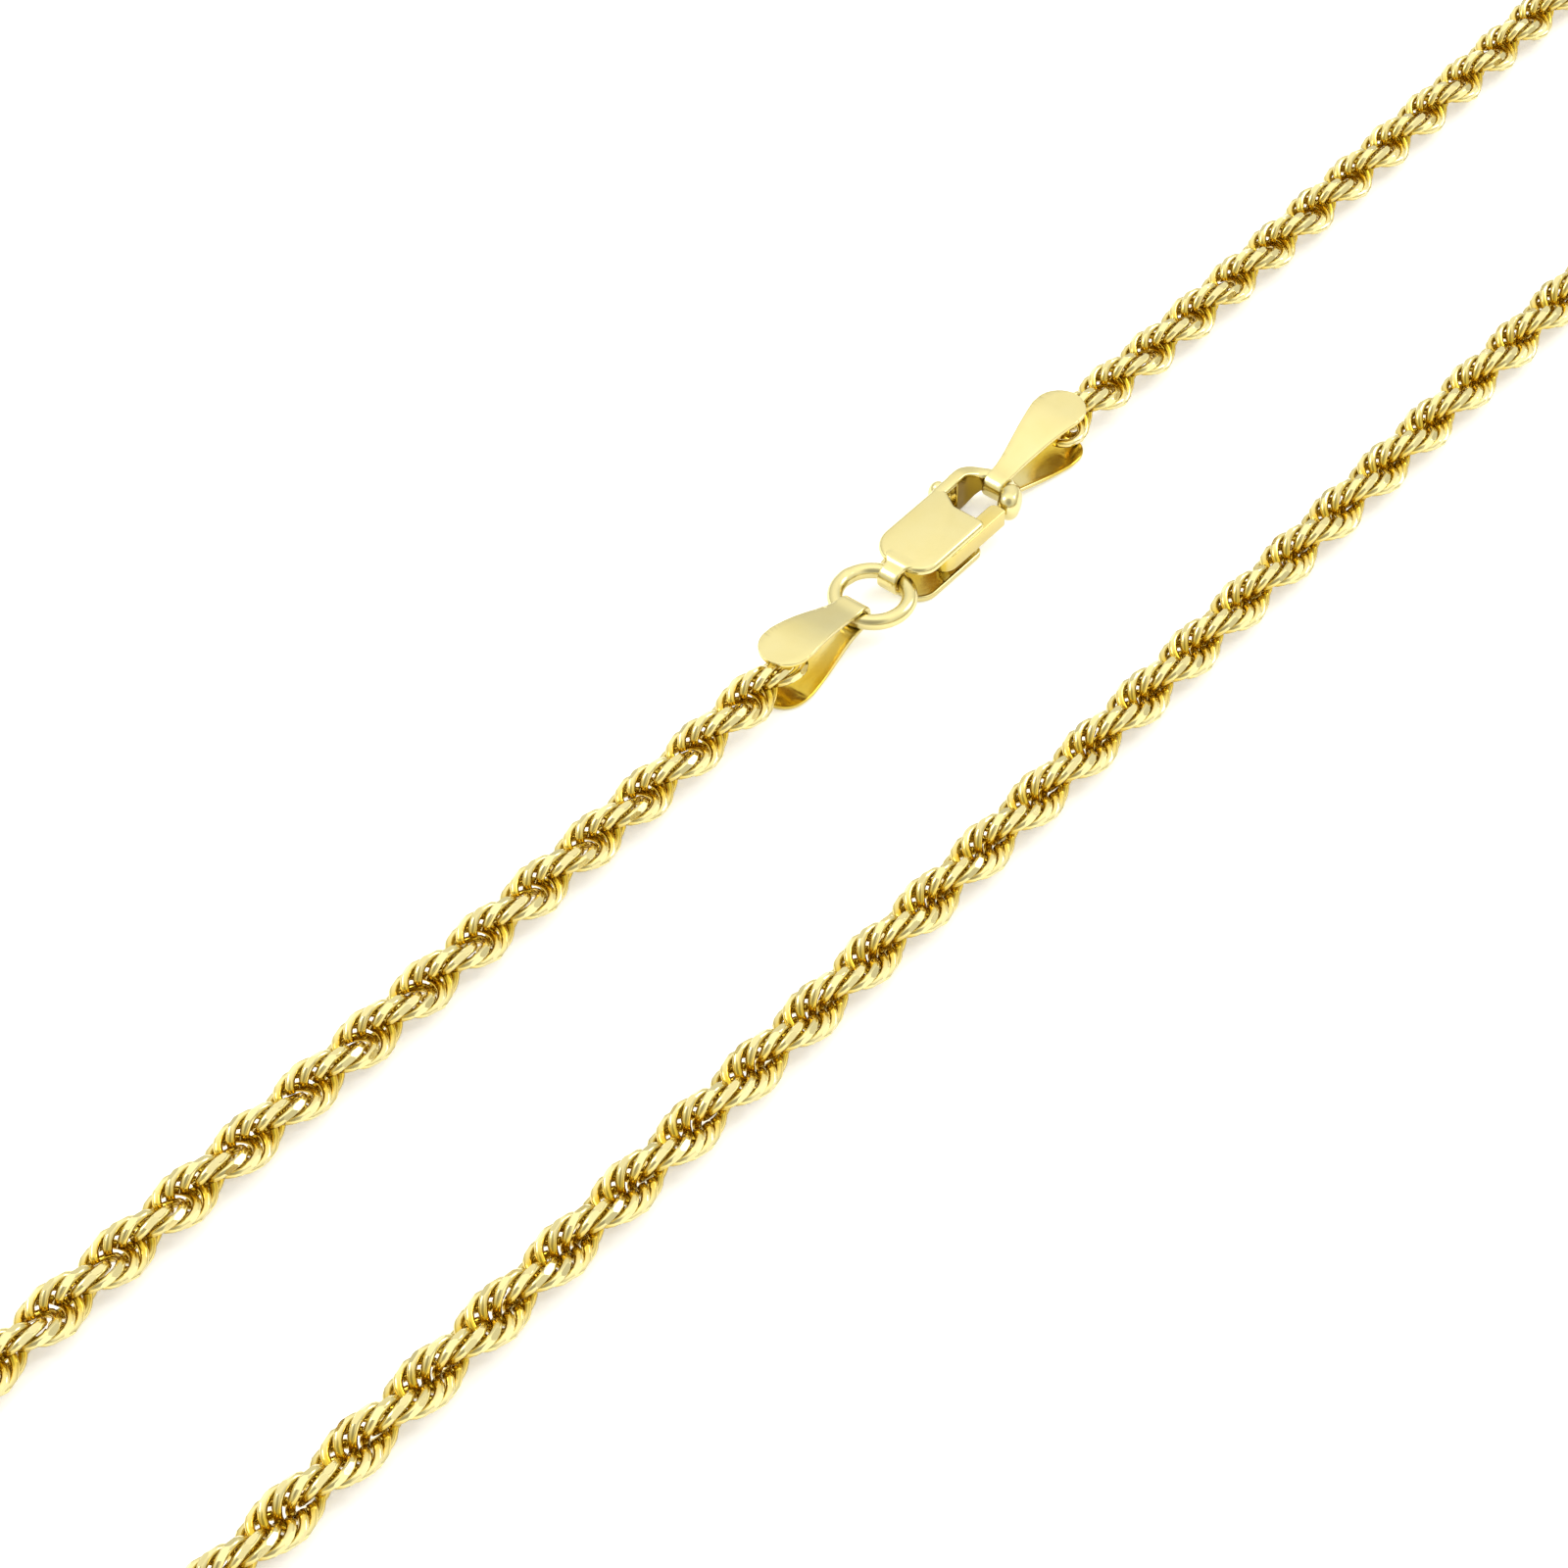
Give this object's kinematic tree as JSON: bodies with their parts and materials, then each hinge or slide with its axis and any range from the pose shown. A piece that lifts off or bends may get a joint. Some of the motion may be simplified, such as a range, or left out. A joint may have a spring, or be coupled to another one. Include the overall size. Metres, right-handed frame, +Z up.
{
  "type": "rope chain necklace",
  "caption": "Twisted rope chain necklace lying flat in a long closed loop, joined by a sprung trigger clasp, a jump ring and two folded teardrop end caps.",
  "frame": {"origin": "centre of the underside of the whole closed loop, on the table", "axes": "+X along the two strands from the jump ring towards the hook, +Y across the loop towards the strand with the clasp, +Z up"},
  "size_m": [0.2488, 0.0178, 0.0031],
  "materials": {
    "cut_gold": "bright cut yellow gold",
    "polished_gold": "polished yellow gold"
  },
  "bodies": {
    "necklace": {"rope_chain": "cut_gold", "ring_side_cap": "polished_gold", "hook_side_cap": "polished_gold", "jump_ring": "polished_gold", "clasp_body": "polished_gold"},
    "trigger": {"clasp_trigger": "polished_gold"}
  },
  "joints": [
    {"name": "trigger_hinge", "type": "hinge", "parent": "necklace", "child": "trigger", "pos_m": [-0.0009, 0.0058, 0.0011], "axis": [0, 0, 1], "range_deg": [0, 25], "stiffness_Nm_per_rad": 0.008, "springref_deg": -11.46}
  ]
}
